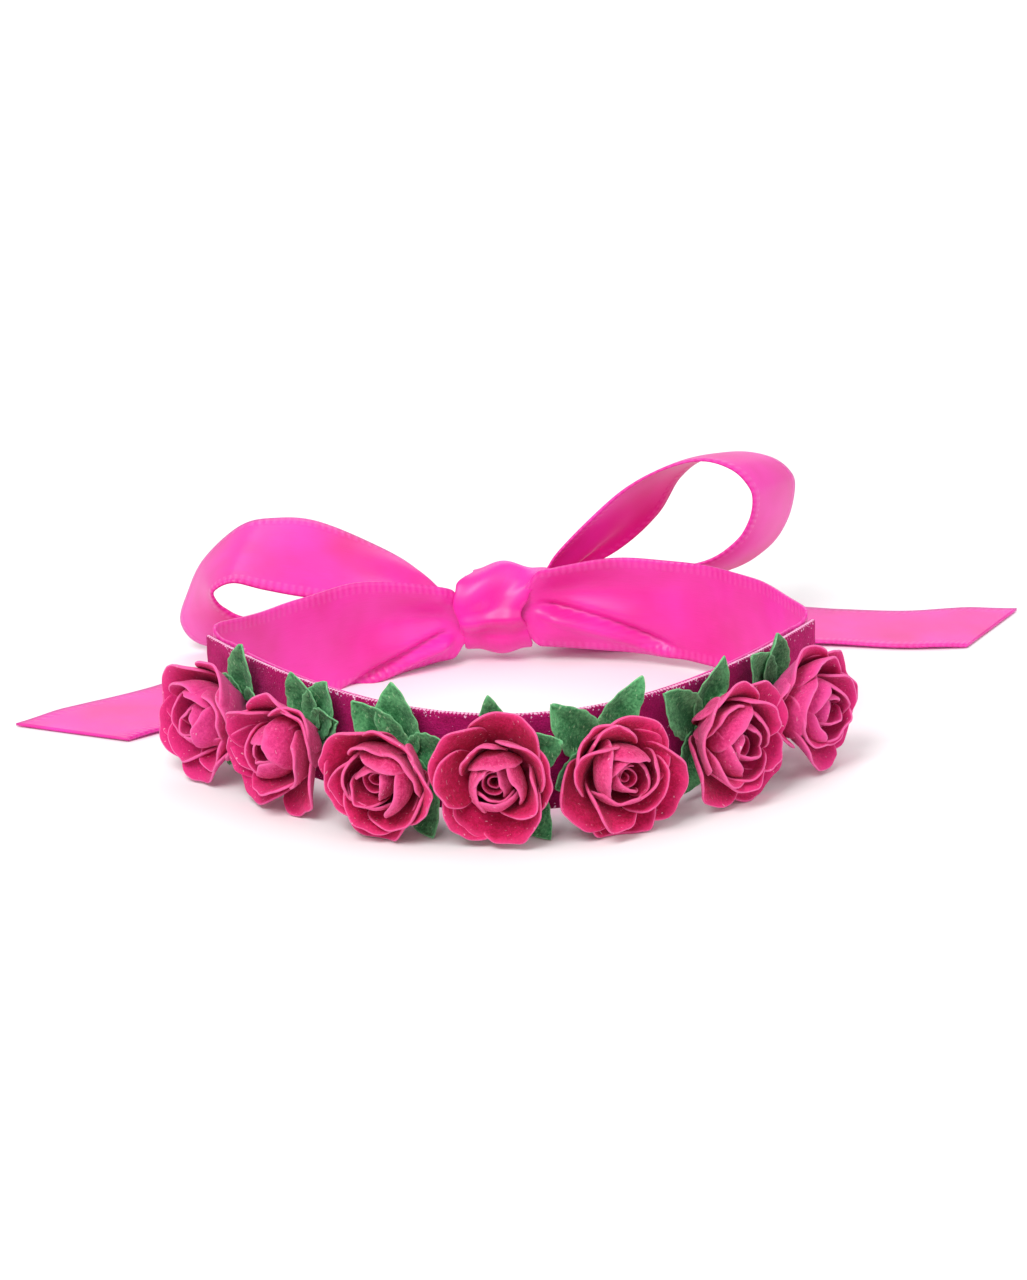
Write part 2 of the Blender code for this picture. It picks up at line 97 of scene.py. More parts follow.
def smooth_line(points: Sequence[Vector], steps: int) -> list[Vector]:
    """Returns a smooth line through the points.

    Args:
        points: The points that the line passes through.
        steps: How many steps lie between two neighbouring points.

    Returns:
        The line's points.
    """
    ends = [points[0] * 2 - points[1], *points, points[-1] * 2 - points[-2]]
    line = []
    for a, b, c, d in zip(ends, ends[1:], ends[2:], ends[3:]):
        for t in (step / steps for step in range(steps)):
            linear = (c - a) * t
            square = (2 * a - 5 * b + 4 * c - d) * t**2
            cube = (3 * b - a - 3 * c + d) * t**3
            line.append(b + (linear + square + cube) / 2)
    return [*line, points[-1]]


def ease(value: float, low: float, high: float) -> float:
    """Returns 0 below low and 1 above high, with a smooth change between them."""
    share = min(1.0, max(0.0, (value - low) / (high - low)))
    return share * share * (3 - 2 * share)


def ripple(x: float, y: float, seed: float) -> float:
    """Returns smooth noise from about -1 to 1 at this place."""
    return noise.noise(Vector((x, y, seed * 7.31)))


def table_value(table: Sequence[tuple[float, float]], at: float) -> float:
    """Reads a table of (place, value) pairs with smooth steps between its rows.

    Args:
        table: The pairs, in rising order of place.
        at: The place to read.

    Returns:
        The value there.
    """
    for (low, first), (high, second) in zip(table, table[1:]):
        if at <= high:
            return first + (second - first) * ease(at, low, high)
    return table[-1][1]


def plan_axes(degrees: float) -> tuple[Vector, Vector]:
    """Returns the outward direction at this angle in plan, and the tangent there."""
    turn = math.radians(degrees)
    return Vector((math.cos(turn), math.sin(turn), 0)), Vector((-math.sin(turn), math.cos(turn), 0))


def turned_to(right: Vector, up: Vector, out: Vector) -> Matrix:
    """Returns the rotation whose X, Y and Z axes are these directions."""
    return Matrix((right, up, out)).transposed().to_4x4()


def linked(name: str, data: bpy.types.ID) -> Piece:
    """Returns a new object in the scene that holds this mesh, light or camera."""
    made = bpy.data.objects.new(name, data)
    bpy.context.scene.collection.objects.link(made)
    return made


def mesh_piece(maker: bmesh.types.BMesh, name: str, finishes: Sequence[Finish]) -> Piece:
    """Returns an object with these finishes, made from a bmesh, which it frees."""
    mesh = bpy.data.meshes.new(name)
    maker.to_mesh(mesh)
    maker.free()
    for finish in finishes:
        mesh.materials.append(finish)
    log.info("%s: %d faces", name, len(mesh.polygons))
    return linked(name, mesh)


class SheetMaker:
    """Collects thin patches, each a grid put in place point by point, into one mesh."""

    def __init__(self) -> None:
        """Starts an empty mesh with its cloth map and its tone layer."""
        self.maker = bmesh.new()
        self.cloth = self.maker.loops.layers.uv.new("cloth")
        # The tone layer carries the painted shade and painted highlight that the paper finishes read.
        self.tone = self.maker.verts.layers.float.new("tone")

    def patch(self, columns: int, rows: int, place: Place, size: tuple[float, float] = (1, 1),
              tone: Callable[[float, float], float] | None = None, start: float = 0.0) -> None:
        """Adds one patch.

        Args:
            columns: The faces from side to side.
            rows: The faces from foot to rim.
            place: Gives the point for shares (across, along) from 0 to 1.
            size: The cloth map's width and length, in millimetres.
            tone: Gives the tone attribute, which is the share along by default.
            start: Where the cloth map starts across the cloth, in millimetres.
        """
        made = bmesh.ops.create_grid(self.maker, x_segments=columns, y_segments=rows, size=0.5)["verts"]
        shares = {vert: (vert.co.x + 0.5, vert.co.y + 0.5) for vert in made}
        for face in {face for vert in made for face in vert.link_faces}:
            face.smooth = True
            for loop in face.loops:
                across, along = shares[loop.vert]
                loop[self.cloth].uv = (start + across * size[0], along * size[1])
        for vert, (across, along) in shares.items():
            vert.co = place(across, along)
            vert[self.tone] = tone(across, along) if tone else along

    def finish(self, name: str, finishes: Sequence[Finish], body: str,
               thickness: float, rounding: int = 0) -> Piece:
        """Makes the object.

        Args:
            name: The piece's name.
            finishes: Its materials: the front, then the back and the cut edge if they differ.
            body: The body that it rides on, or nothing where it is left on no body.
            thickness: The wall's thickness in metres, half of it on each side of the patch.
            rounding: The subdivision levels that round the cut edge.

        Returns:
            The finished object.
        """
        piece = mesh_piece(self.maker, name, finishes)
        wall = piece.modifiers.new("wall", "SOLIDIFY")
        wall.thickness = thickness
        wall.offset = 0
        wall.use_even_offset = False
        if len(finishes) == 3:
            wall.material_offset = 1
            wall.material_offset_rim = 2
        if rounding:
            round_off = piece.modifiers.new("rounding", "SUBSURF")
            round_off.levels = round_off.render_levels = rounding
        if body:
            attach(piece, body)
        return piece


# Finishes


class Graph:
    """A material's nodes, added and linked one at a time."""

    def __init__(self, name: str) -> None:
        """Makes the material with its Principled shader."""
        self.material = bpy.data.materials.new(name)
        self.material.use_nodes = True
        self.nodes = self.material.node_tree.nodes
        self.shader = self.nodes["Principled BSDF"]

    def node(self, kind: str, values: dict[str | int, object] | None = None,
             **settings: object) -> bpy.types.Node:
        """Adds a node.

        Args:
            kind: The node's type, without its ShaderNode prefix.
            values: Its inputs by name or number: a value, or a socket to link from.
            **settings: Its properties.

        Returns:
            The node.
        """
        made = self.nodes.new("ShaderNode" + kind)
        for name, value in settings.items():
            setattr(made, name, value)
        for name, value in (values or {}).items():
            self.put(made.inputs[name], value)
        return made

    def put(self, socket: Socket, value: object) -> None:
        """Sets a socket to a value, or links it from another socket."""
        if isinstance(value, Socket):
            self.material.node_tree.links.new(value, socket)
        else:
            socket.default_value = value

    def math(self, operation: str, *values: object) -> Socket:
        """Returns the result of a Math node on these values or sockets."""
        return self.node("Math", dict(enumerate(values)), operation=operation).outputs[0]

    def scaled(self, value: object, factor: object, plus: object) -> Socket:
        """Returns value times factor, plus a last value."""
        return self.math("MULTIPLY_ADD", value, factor, plus)

    def fade(self, value: object, low: float, high: float) -> Socket:
        """Returns a socket that goes smoothly from 0 at low to 1 at high."""
        made = self.node("MapRange", {"Value": value, "From Min": low, "From Max": high})
        made.interpolation_type = "SMOOTHSTEP"
        return made.outputs[0]

    def mix(self, share: object, first: object, second: object) -> Socket:
        """Returns the mix of two colours by a share."""
        made = self.node("Mix", data_type="RGBA")
        self.put(made.inputs[0], share)
        self.put(made.inputs[6], first)
        self.put(made.inputs[7], second)
        return made.outputs[2]

    def noise(self, scale: float, detail: float = 3.0, vector: object = None,
              roughness: float = 0.55) -> Socket:
        """Returns the strength of a Noise texture, on Object coordinates unless it is given others."""
        if vector is None:
            vector = self.node("TexCoord").outputs["Object"]
        values = {"Vector": vector, "Scale": scale, "Detail": detail, "Roughness": roughness}
        return self.node("TexNoise", values).outputs["Fac"]

    def bump(self, height: object, distance: float, strength: float) -> Socket:
        """Returns the normal that a height in shares of this distance gives."""
        return self.node("Bump", {"Height": height, "Distance": distance, "Strength": strength}).outputs[0]

    def cloth_map(self, width_mm: float) -> tuple[Socket, ...]:
        """Returns a ribbon's cloth map, the place along it and the millimetres to its nearer selvedge."""
        cloth = self.node("UVMap", uv_map="cloth").outputs[0]
        across, along, _ = self.node("SeparateXYZ", {0: cloth}).outputs
        return cloth, along, self.math("MINIMUM", across, self.math("SUBTRACT", width_mm, across))

    def set(self, **values: object) -> None:
        """Sets the shader's sockets, with _ for the spaces in their names."""
        for name, value in values.items():
            self.put(self.shader.inputs[name.replace("_", " ")], value)


@dataclass(frozen=True)
class SatinFinish:
    """Single-faced satin ribbon: smooth floats along it, with a ribbed selvedge on each side."""

    name: str = "satin"
    deep: Colour = (0.70, 0.006, 0.225, 1)
    light: Colour = (0.90, 0.030, 0.47, 1)
    rib_glint: Colour = (0.95, 0.13, 0.55, 1)
    width_mm: float = 25.0
    selvedge_mm: float = 2.6
    rib_mm: float = 1.7

    def build(self) -> Finish:
        """Returns the satin, which follows the ribbon's own cloth map."""
        graph = Graph(self.name)
        cloth, along, edge = graph.cloth_map(self.width_mm)
        inner = graph.fade(edge, self.selvedge_mm - 0.5, self.selvedge_mm + 0.4)
        selvedge = graph.math("SUBTRACT", 1.0, inner)
        turn = graph.math("MULTIPLY", along, math.tau / self.rib_mm)
        rib = graph.scaled(graph.math("SINE", turn), 0.5, 0.5)
        ribs = graph.math("MULTIPLY", rib, selvedge)
        stretch = graph.node("Mapping", {"Vector": cloth, "Scale": (6.0, 0.22, 1.0)}).outputs[0]
        floats = graph.noise(1.0, 2.0, stretch)
        patches = graph.noise(60.0, 2.0)
        shade = graph.scaled(patches, 1.5, graph.scaled(floats, 0.5, -0.45))
        colour = graph.mix(shade, self.deep, self.light)
        ribbed = graph.mix(graph.math("MULTIPLY", ribs, 0.22), colour, self.rib_glint)
        height = graph.scaled(floats, 0.10, ribs)
        graph.set(Base_Color=ribbed, Roughness=graph.scaled(floats, 0.16, 0.30),
                  Normal=graph.bump(height, 0.00013, 0.7), Anisotropic=0.55, Specular_IOR_Level=0.5,
                  Sheen_Weight=0.12, Sheen_Roughness=0.45, Sheen_Tint=(1.0, 0.62, 1.0, 1))
        graph.set(Tangent=graph.node("Tangent", direction_type="UV_MAP", uv_map="cloth").outputs[0])
        return graph.material


@dataclass(frozen=True)
class VelvetFinish:
    """Cut pile in dark magenta, with pale glints that thicken towards its woven edges."""

    name: str = "velvet"
    deep: Colour = (0.24, 0.001, 0.055, 1)
    light: Colour = (0.70, 0.014, 0.22, 1)
    glint: Colour = (0.95, 0.55, 0.80, 1)
    width_mm: float = 22.0

    def build(self) -> Finish:
        """Returns the velvet, which follows the band's own cloth map."""
        graph = Graph(self.name)
        _, _, edge = graph.cloth_map(self.width_mm)
        near_edge = graph.math("SUBTRACT", 1.0, graph.fade(edge, 0.3, 2.2))
        pile = graph.noise(2600.0, 3.0)
        lay = graph.noise(260.0, 3.0)
        shade = graph.scaled(pile, 0.9, graph.scaled(lay, 0.9, -0.45))
        colour = graph.mix(shade, self.deep, self.light)
        specks = graph.noise(1500.0, 1.0)
        level = graph.scaled(near_edge, -0.13, 0.745)
        glints = graph.fade(graph.math("SUBTRACT", specks, level), 0.0, 0.05)
        graph.set(Base_Color=graph.mix(glints, colour, self.glint), Roughness=0.92, Specular_IOR_Level=0.15,
                  Normal=graph.bump(pile, 0.0004, 0.9), Sheen_Weight=0.35, Sheen_Roughness=0.35,
                  Sheen_Tint=(1.0, 0.22, 0.52, 1))
        return graph.material


@dataclass(frozen=True)
class PaperFinish:
    """Soft handmade paper: long fibres and a felted nap, with painted shade deepest at the foot and a painted
    highlight that pales it towards the rim.
    """

    name: str
    deep: Colour
    light: Colour
    rim: Colour
    fibre: Colour = (0.95, 0.55, 0.70, 1)
    nap: float = 0.45
    mottle: float = 0.8
    fibre_level: float = 0.70
    sheen_tint: Colour = (1.0, 0.62, 0.86, 1)
    # Painted light: the lighter, pinker colour that pieces lean to towards the crown's ends, standing in for
    # side light on the outer roses.
    painted_side_light: Colour | None = None

    def build(self) -> Finish:
        """Returns the paper, mottled on Object coordinates and shaded by the tone attribute."""
        graph = Graph(self.name)
        tone = graph.node("Attribute", attribute_name="tone").outputs["Fac"]
        mottle = graph.noise(300.0, 3.0)
        grain = graph.noise(1500.0, 5.0, roughness=0.7)
        # Painted shade and light: a low tone darkens the paper, at the petals' feet and the leaves' middles,
        # and a high tone lightens it.
        shade = graph.scaled(mottle, self.mottle, graph.scaled(tone, 0.50, -0.40))
        shade = graph.math("ADD", shade, graph.scaled(grain, 1.7, -0.85))
        colour = graph.mix(graph.fade(shade, 0.0, 1.0), self.deep, self.light)
        # Painted highlight: near the top of the tone, the colour leans to the rim colour at the petals' rims
        # and the leaves' edges and tips.
        colour = graph.mix(graph.math("MULTIPLY", graph.fade(tone, 0.86, 1.0), 0.55), colour, self.rim)
        spot = graph.node("TexCoord").outputs["Object"]
        # Painted light: the further a point lies from the crown's middle along X, the more its colour leans
        # to the painted side light colour.
        if self.painted_side_light is not None:
            side = graph.math("ABSOLUTE", graph.node("SeparateXYZ", {0: spot}).outputs[0])
            colour = graph.mix(graph.math("MULTIPLY", graph.fade(side, 0.030, 0.074), 0.45), colour, self.painted_side_light)
        swirl = graph.node("Mapping", {"Vector": spot, "Scale": (1.0, 3.2, 0.6), "Rotation": (0.6, 0.3, 0.9)})
        threads = graph.noise(1100.0, 2.0, swirl.outputs[0], 0.4)
        threads = graph.fade(threads, self.fibre_level, self.fibre_level + 0.05)
        colour = graph.mix(graph.math("MULTIPLY", threads, 0.6), colour, self.fibre)
        height = graph.scaled(mottle, 0.8, grain)
        graph.set(Base_Color=colour, Roughness=0.94, Specular_IOR_Level=0.2,
                  Normal=graph.bump(height, 0.00045, 0.9), Sheen_Weight=self.nap, Sheen_Roughness=0.5,
                  Sheen_Tint=self.sheen_tint)
        return graph.material


@dataclass(frozen=True)
class PlainFinish:
    """A matt surface with a fine grain, for small trim and the studio's floor."""

    name: str
    colour: Colour
    other: Colour
    roughness: float = 0.7
    scale: float = 900.0
    depth: float = 0.00005

    def build(self) -> Finish:
        """Returns the finish."""
        graph = Graph(self.name)
        grain = graph.noise(self.scale, 3.0)
        graph.set(Base_Color=graph.mix(grain, self.colour, self.other), Roughness=self.roughness,
                  Normal=graph.bump(grain, self.depth, 0.5))
        return graph.material


class Finishes:
    """Every finish of the crown, built once."""

    def __init__(self) -> None:
        """Builds the materials."""
        self.satin = SatinFinish().build()
        self.velvet = VelvetFinish().build()
        self.petal_out = PaperFinish("petal_outside", (0.56, 0.006, 0.10, 1), (0.98, 0.085, 0.31, 1),
                                     (0.97, 0.14, 0.38, 1), nap=0.20, painted_side_light=(0.93, 0.075, 0.42, 1)).build()
        # The inside paper is a darker copy of the outside paper: painted shade for the insides of the petals.
        self.petal_in = PaperFinish("petal_inside", (0.40, 0.002, 0.045, 1), (0.76, 0.014, 0.140, 1),
                                    (0.90, 0.055, 0.24, 1), nap=0.10, painted_side_light=(0.85, 0.040, 0.30, 1)).build()
        self.petal_rim = PaperFinish("petal_rim", (0.70, 0.025, 0.16, 1), (0.95, 0.12, 0.35, 1),
                                     (0.95, 0.14, 0.38, 1), nap=0.28, painted_side_light=(0.95, 0.16, 0.50, 1)).build()
        self.leaf = PaperFinish("leaf_paper", (0.018, 0.16, 0.048, 1), (0.17, 0.60, 0.24, 1),
                                (0.32, 0.78, 0.40, 1), fibre=(0.50, 0.82, 0.46, 1), nap=0.18, mottle=1.2,
                                fibre_level=0.66, sheen_tint=(0.6, 1.0, 0.7, 1)).build()
        self.thread = PlainFinish("edge_thread", (0.80, 0.20, 0.48, 1), (0.98, 0.62, 0.80, 1), 0.45).build()
        self.wire = PlainFinish("stem_wire", (0.05, 0.20, 0.07, 1), (0.14, 0.38, 0.15, 1), 0.75).build()


# The band's line in plan


@dataclass(frozen=True)
class BandLine:
    """A shallow arch in plan, measured along its own length from the middle."""

    half_span: float = 0.0675
    depth: float = 0.056
    middle_z: float = 0.0146

    @property
    def bend(self) -> float:
        """The slope's growth with distance from the middle."""
        return 2 * self.depth / self.half_span**2

    @property
    def half_length(self) -> float:
        """The length from the middle to one end."""
        return self.length_to(self.half_span)

    def length_to(self, x: float) -> float:
        """Returns the length along the line from its middle to this x."""
        slope = self.bend * x
        return x / 2 * math.hypot(1, slope) + math.asinh(slope) / (2 * self.bend)

    def point(self, along: float, offset: float = 0.0) -> tuple[Vector, Vector]:
        """Finds a place on the line.

        Args:
            along: The length from the middle.
            offset: How far the point is moved outwards.

        Returns:
            The point, at z = 0, and the outward normal.
        """
        x = along
        for _ in range(30):
            x -= (self.length_to(x) - along) / math.hypot(1, self.bend * x)
        normal = Vector((self.bend * x, -1, 0)).normalized()
        y = self.depth * ((x / self.half_span) ** 2 - 1)
        return Vector((x, y, 0)) + normal * offset, normal


BAND_LINE = BandLine()
LINING_OFFSET = -0.0026
TIE_OVERLAP = 0.012
GAP = 0.0003


# Ribbons


@dataclass
class Ribbon:
    """A ribbon between two selvedge lines, with a relief that its subclasses give."""

    name: str
    node: str
    body: str = "crown"
    cloth: Cloth = Cloth.SATIN
    thickness: float = 0.0006
    columns: int = 16
    rows: int = 120
    held: str = "stretched"
    rests_on: tuple[str, ...] = ()

    def selvedges(self) -> Edges:
        """Returns the two selvedges' points, row by row, densely enough to be joined by straight lines."""
        raise NotImplementedError

    def relief(self, across: float, along: float) -> float:
        """Returns how far the cloth stands off its flat surface here, in metres."""
        return 0.0

    def build(self, finish: Finish) -> Piece:
        """Builds the ribbon as a closed thin sheet.

        Args:
            finish: Its cloth.

        Returns:
            The piece.
        """
        edges = self.selvedges()
        middles = [(low + high) / 2 for low, high in edges]
        steps = [(b - a).length for a, b in zip(middles, middles[1:])]
        length = sum(steps)
        marks = [0.0]
        for step in steps:
            marks.append(marks[-1] + step / length)

        def row_at(along: float) -> tuple[Vector, Vector]:
            """Returns the two selvedge points at this share of the length."""
            index = next((i for i, mark in enumerate(marks[1:]) if mark >= along - 1e-9), len(steps) - 1)
            share = (along - marks[index]) / (marks[index + 1] - marks[index])
            return tuple(a.lerp(b, share) for a, b in zip(edges[index], edges[index + 1]))

        def place(across: float, along: float) -> Vector:
            """Returns the point of the cloth at these shares."""
            low, high = row_at(along)
            before, after = row_at(max(0.0, along - 0.004)), row_at(min(1.0, along + 0.004))
            ahead = after[0].lerp(after[1], across) - before[0].lerp(before[1], across)
            normal = (high - low).cross(ahead).normalized()
            return low.lerp(high, across) + normal * self.relief(across, along)

        sheet = SheetMaker()
        sheet.patch(self.columns, self.rows, place, (self.cloth.value * 1000, length * 1000))
        piece = sheet.finish(self.name, [finish], self.body, self.thickness)
        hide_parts(self.node)
        list(self.rests_on)
        return piece


@dataclass
class BandRibbon(Ribbon):
    """A ribbon that follows the band's line: the velvet, or the satin lining behind it."""

    half_length: float = BAND_LINE.half_length
    offset: float = 0.0
    pile: float = 0.0

    def selvedges(self) -> Edges:
        """Returns the level selvedges along the band."""
        edges = []
        for row in range(121):
            point, _ = BAND_LINE.point(self.half_length * (row / 60 - 1), self.offset)
            point.z = BAND_LINE.middle_z
            half = Vector((0, 0, self.cloth.value / 2))
            edges.append((point - half, point + half))
        return edges

    def relief(self, across: float, along: float) -> float:
        """Returns the uneven pile's height."""
        return self.pile * ripple(across * 9, along * 75, 3)


@dataclass
class Strap(Ribbon):
    """A tie from behind the band's end, round its corner and back to the knot, gathered as it enters."""

    side: Side = Side.LEFT
    bulge: float = 0.006
    end_width: float = 0.011
    end_fall: float = 0.0
    knot: Vector = field(default_factory=Vector)
    pleats: float = 1.5
    pleat_depth: float = 0.0016
    pleat_phase: float = 0.0
    knot_reach: float = 0.0099
    sink: float = 1.0
    narrowing: float = 0.62
    tucked_in: float = 0.004
    valley: float = 0.0
    brow: float = 0.0
    valley_start: float = 0.36
    columns: int = 24
    rows: int = 150

    def selvedges(self) -> Edges:
        """Returns the upright selvedges from behind the velvet to the knot."""
        side = self.side.value
        length = BAND_LINE.half_length
        inside = BAND_LINE.point(side * (length - TIE_OVERLAP), LINING_OFFSET)[0]
        tucked = BAND_LINE.point(side * (length - TIE_OVERLAP / 2), LINING_OFFSET)[0]
        corner = BAND_LINE.point(side * (length + 3 * GAP), LINING_OFFSET * 0.8)[0]
        root = Vector((self.knot.x + side * self.knot_reach, self.knot.y - 0.0047, 0))
        run = root - corner
        outward = Vector((side * abs(run.y), abs(run.x), 0)).normalized()
        back = [corner + run * share + outward * self.bulge * math.sin(math.pi * share)
                for share in (0.12, 0.3, 0.5, 0.7, 0.86)]
        hidden = root - Vector((side * self.tucked_in, 0, 0))
        line = smooth_line([inside, tucked, corner, *back, root, hidden], 16)
        last = len(line) - 1
        edges = []
        for row, point in enumerate(line):
            along = row / last
            drop = ease(along, 0.25, 0.45) * self.sink
            pinch = max(0, (along - self.narrowing) / (1 - self.narrowing)) ** 1.5
            width = self.cloth.value * (0.84 + 0.16 * ease(along, 0.14, 0.24))
            width += (self.end_width - self.cloth.value) * pinch
            width *= 1 - 0.42 * ease(along, 0.88, 0.95)
            resting = BAND_LINE.middle_z + (self.cloth.value / 2 - BAND_LINE.middle_z) * drop
            middle_z = resting + (self.knot.z - self.end_fall - resting) * pinch
            brow = self.brow * math.exp(-((along - 0.74) / 0.11) ** 2)
            low, high = middle_z - width / 2, middle_z + width / 2 + brow
            edges.append((Vector((point.x, point.y, low)), Vector((point.x, point.y, high))))
        return edges

    def relief(self, across: float, along: float) -> float:
        """Returns the gathers, which deepen towards the knot, and the cloth's slow waves."""
        hidden = ease(along, 0.90, 0.96)
        gather = ease(along, 0.52, 0.94) * (1 - 0.75 * hidden)
        pleat = self.pleat_depth * gather * math.sin(math.tau * self.pleats * across + self.pleat_phase)
        slow = 0.0015 * ease(along, 0.3, 0.5) * (1 - gather)
        slow *= ripple(across * 1.6, along * 6, self.side.value)
        line = self.valley_start - 0.45 * (0.92 - along) / 0.34
        near = (across - line) / 0.05
        fold = math.exp(-near * near) - 0.7 * math.exp(-((near + 1.8) ** 2) / 2)
        return pleat + slow + self.valley * ease(along, 0.56, 0.72) * (1 - hidden) * fold * -self.side.value


LEFT_LOOP: tuple[Station, ...] = (
    ((-0.055, 0.0, 0.018), (0, 1, 0), 0.24),
    ((0.015, 0.0, 0.03), (0, 1, 0), 0.28),
    ((0.15, 0.0, 0.13), (0, 0.93, 0.36), 0.56),
    ((0.355, 0.02, 0.200), (0, 0.92, 0.39), 0.82),
    ((0.60, 0.035, 0.258), (-0.08, 0.88, 0.46), 0.96),
    ((0.775, 0.035, 0.284), (-0.10, 0.91, 0.36), 1),
    ((0.92, 0.04, 0.285), (-0.05, 0.96, 0.21), 1),
    ((1.045, 0.045, 0.195), (0.13, 0.985, -0.02), 1),
    ((1.083, 0.035, 0.10), (0.30, 0.92, -0.23), 1),
    ((1.08, 0.02, 0.012), (0.45, 0.80, -0.40), 1),
    ((0.985, 0.01, -0.058), (0.42, 0.75, -0.50), 1),
    ((0.745, 0.01, -0.072), (0.30, 0.78, -0.46), 0.96),
    ((0.43, 0.005, -0.065), (0.12, 0.84, -0.40), 0.80),
    ((0.17, 0.0, -0.042), (0, 0.90, -0.32), 0.56),
    ((0.015, 0.0, -0.03), (0, 1, 0), 0.28),
    ((-0.055, 0.0, -0.018), (0, 1, 0), 0.24),
)
RIGHT_LOOP: tuple[Station, ...] = (
    ((-0.055, 0.0, 0.022), (0, 1, 0), 0.26),
    ((0.017, 0.0, 0.04), (0, 1, 0), 0.30),
    ((0.20, 0.055, 0.130), (0.66, 0.72, -0.22), 0.70),
    ((0.40, 0.11, 0.29), (0.69, 0.70, -0.16), 0.96),
    ((0.55, 0.15, 0.455), (0.54, 0.83, -0.15), 1),
    ((0.70, 0.155, 0.548), (0.43, 0.89, -0.16), 1),
    ((0.87, 0.15, 0.580), (0.38, 0.90, -0.20), 1),
    ((1.02, 0.148, 0.540), (0.39, 0.89, -0.19), 1),
    ((1.105, 0.15, 0.460), (0.40, 0.90, -0.17), 1),
    ((1.125, 0.15, 0.380), (0.40, 0.90, -0.17), 1),
    ((1.095, 0.145, 0.250), (0.38, 0.88, -0.28), 1),
    ((1.015, 0.14, 0.135), (0.33, 0.87, -0.36), 1),
    ((0.85, 0.14, 0.036), (0.28, 0.88, -0.38), 1),
    ((0.54, 0.12, -0.010), (0.20, 0.90, -0.36), 0.88),
    ((0.24, 0.05, -0.04), (0.10, 0.93, -0.30), 0.58),
    ((0.017, 0.0, -0.03), (0, 1, 0), 0.28),
    ((-0.055, 0.0, -0.018), (0, 1, 0), 0.24),
)


@dataclass
class Loop(Ribbon):
    """A bow loop beside the knot. Its stations are shares of its reach from the pivot."""

    side: Side = Side.LEFT
    stations: tuple[Station, ...] = LEFT_LOOP
    reach: float = 0.0535
    pivot: Vector = field(default_factory=Vector)
    cup: float = 0.0012
    pleat_depth: float = 0.0013
    body: str = ""
    columns: int = 18
    rows: int = 220
    held: str = "folded"

    def selvedges(self) -> Edges:
        """Returns the selvedges, out along the top and back underneath."""
        middles, halves = [], []
        for (along, back, up), (across_x, across_y, across_z), share in self.stations:
            across = Vector((self.side.value * across_x, across_y, across_z)).normalized()
            middles.append(self.pivot + Vector((self.side.value * along, back, up)) * self.reach)
            halves.append(across * share * self.cloth.value / 2)
        rows = zip(smooth_line(middles, 14), smooth_line(halves, 14))
        return [(middle - half, middle + half) for middle, half in rows]

    def relief(self, across: float, along: float) -> float:
        """Returns the gathers at both roots and a slight hollow between the selvedges."""
        near_root = 1 - min(ease(along, 0.02, 0.24), ease(1 - along, 0.02, 0.24))
        pleat = self.pleat_depth * near_root * math.sin(math.tau * 1.5 * across + 0.6)
        hollow = self.cup * (1 - near_root) * (1 - (2 * across - 1) ** 2)
        slow = 0.0006 * (1 - near_root) * ripple(across * 1.2, along * 7, self.side.value + 2)
        return (pleat + slow + hollow * 0.4) * -self.side.value


LEFT_TAIL: tuple[FlatStation, ...] = (
    (-0.012, -0.004, 0.0064, 0.26),
    (0.0, 0.0, 0.0062, 0.28),
    (0.07, 0.022, 0.0026, 0.48),
    (0.16, 0.03, 0.0005, 0.72),
    (0.315, -0.02, 0, 0.94),
    (0.48, -0.13, 0, 1),
    (0.63, -0.25, 0, 1),
    (0.73, -0.335, 0, 1),
    (0.87, -0.445, 0, 1),
    (1.0, -0.54, 0, 1),
)
RIGHT_TAIL: tuple[FlatStation, ...] = (
    (-0.010, -0.005, 0.0064, 0.26),
    (0.0, 0.0, 0.0062, 0.28),
    (0.06, 0.03, 0.0026, 0.48),
    (0.16, 0.07, 0.0005, 0.72),
    (0.32, 0.12, 0, 0.94),
    (0.50, 0.125, 0, 1),
    (0.66, 0.105, 0, 1),
    (0.82, 0.075, 0, 1),
    (1.0, 0.075, 0, 1),
)


@dataclass
class Tail(Ribbon):
    """A tail that comes down from the knot, lies on the table and ends in a slanted cut."""

    side: Side = Side.LEFT
    stations: tuple[FlatStation, ...] = LEFT_TAIL
    reach: float = 0.086
    pivot: Vector = field(default_factory=Vector)
    cut: float = 0.28
    lift: float = 0.0012
    body: str = ""
    rows: int = 150
    held: str = "laid"

    def selvedges(self) -> Edges:
        """Returns the selvedges from the knot to the cut end."""
        table = self.thickness / 2 + 0.0001
        side = self.side.value
        middles = [self.pivot + Vector((side * along * self.reach, back * self.reach, table + height))
                   for along, back, height, _ in self.stations]
        widths = [Vector((share * self.cloth.value, 0, 0)) for *_, share in self.stations]
        middles, widths = smooth_line(middles, 14), smooth_line(widths, 14)
        edges = []
        last = len(middles) - 1
        for row, (middle, width) in enumerate(zip(middles, widths)):
            middle.z = max(middle.z, table)
            ahead = middles[min(row + 1, last)] - middles[max(row - 1, 0)]
            ahead.z = 0
            ahead.normalize()
            half = Vector((0, 0, side)).cross(ahead) * width.x / 2
            slant = ahead * self.cut * self.cloth.value * max(0, row / last * 4 - 3)
            edges.append((middle - half - slant, middle + half + slant))
        return edges

    def relief(self, across: float, along: float) -> float:
        """Returns the gathers by the knot and the low waves in which the tail lies."""
        gather = 1 - ease(along, 0.02, 0.3)
        pleat = 0.0012 * gather * (1 + math.sin(math.tau * 1.5 * across))
        wave = self.lift * ease(along, 0.15, 0.4) * max(0.0, 0.25 + ripple(across * 1.2, along * 3.2, 5))
        return (pleat + wave) * -self.side.value * (1 - ease(along, 0.9, 1.0) * 0.7)


# The knot


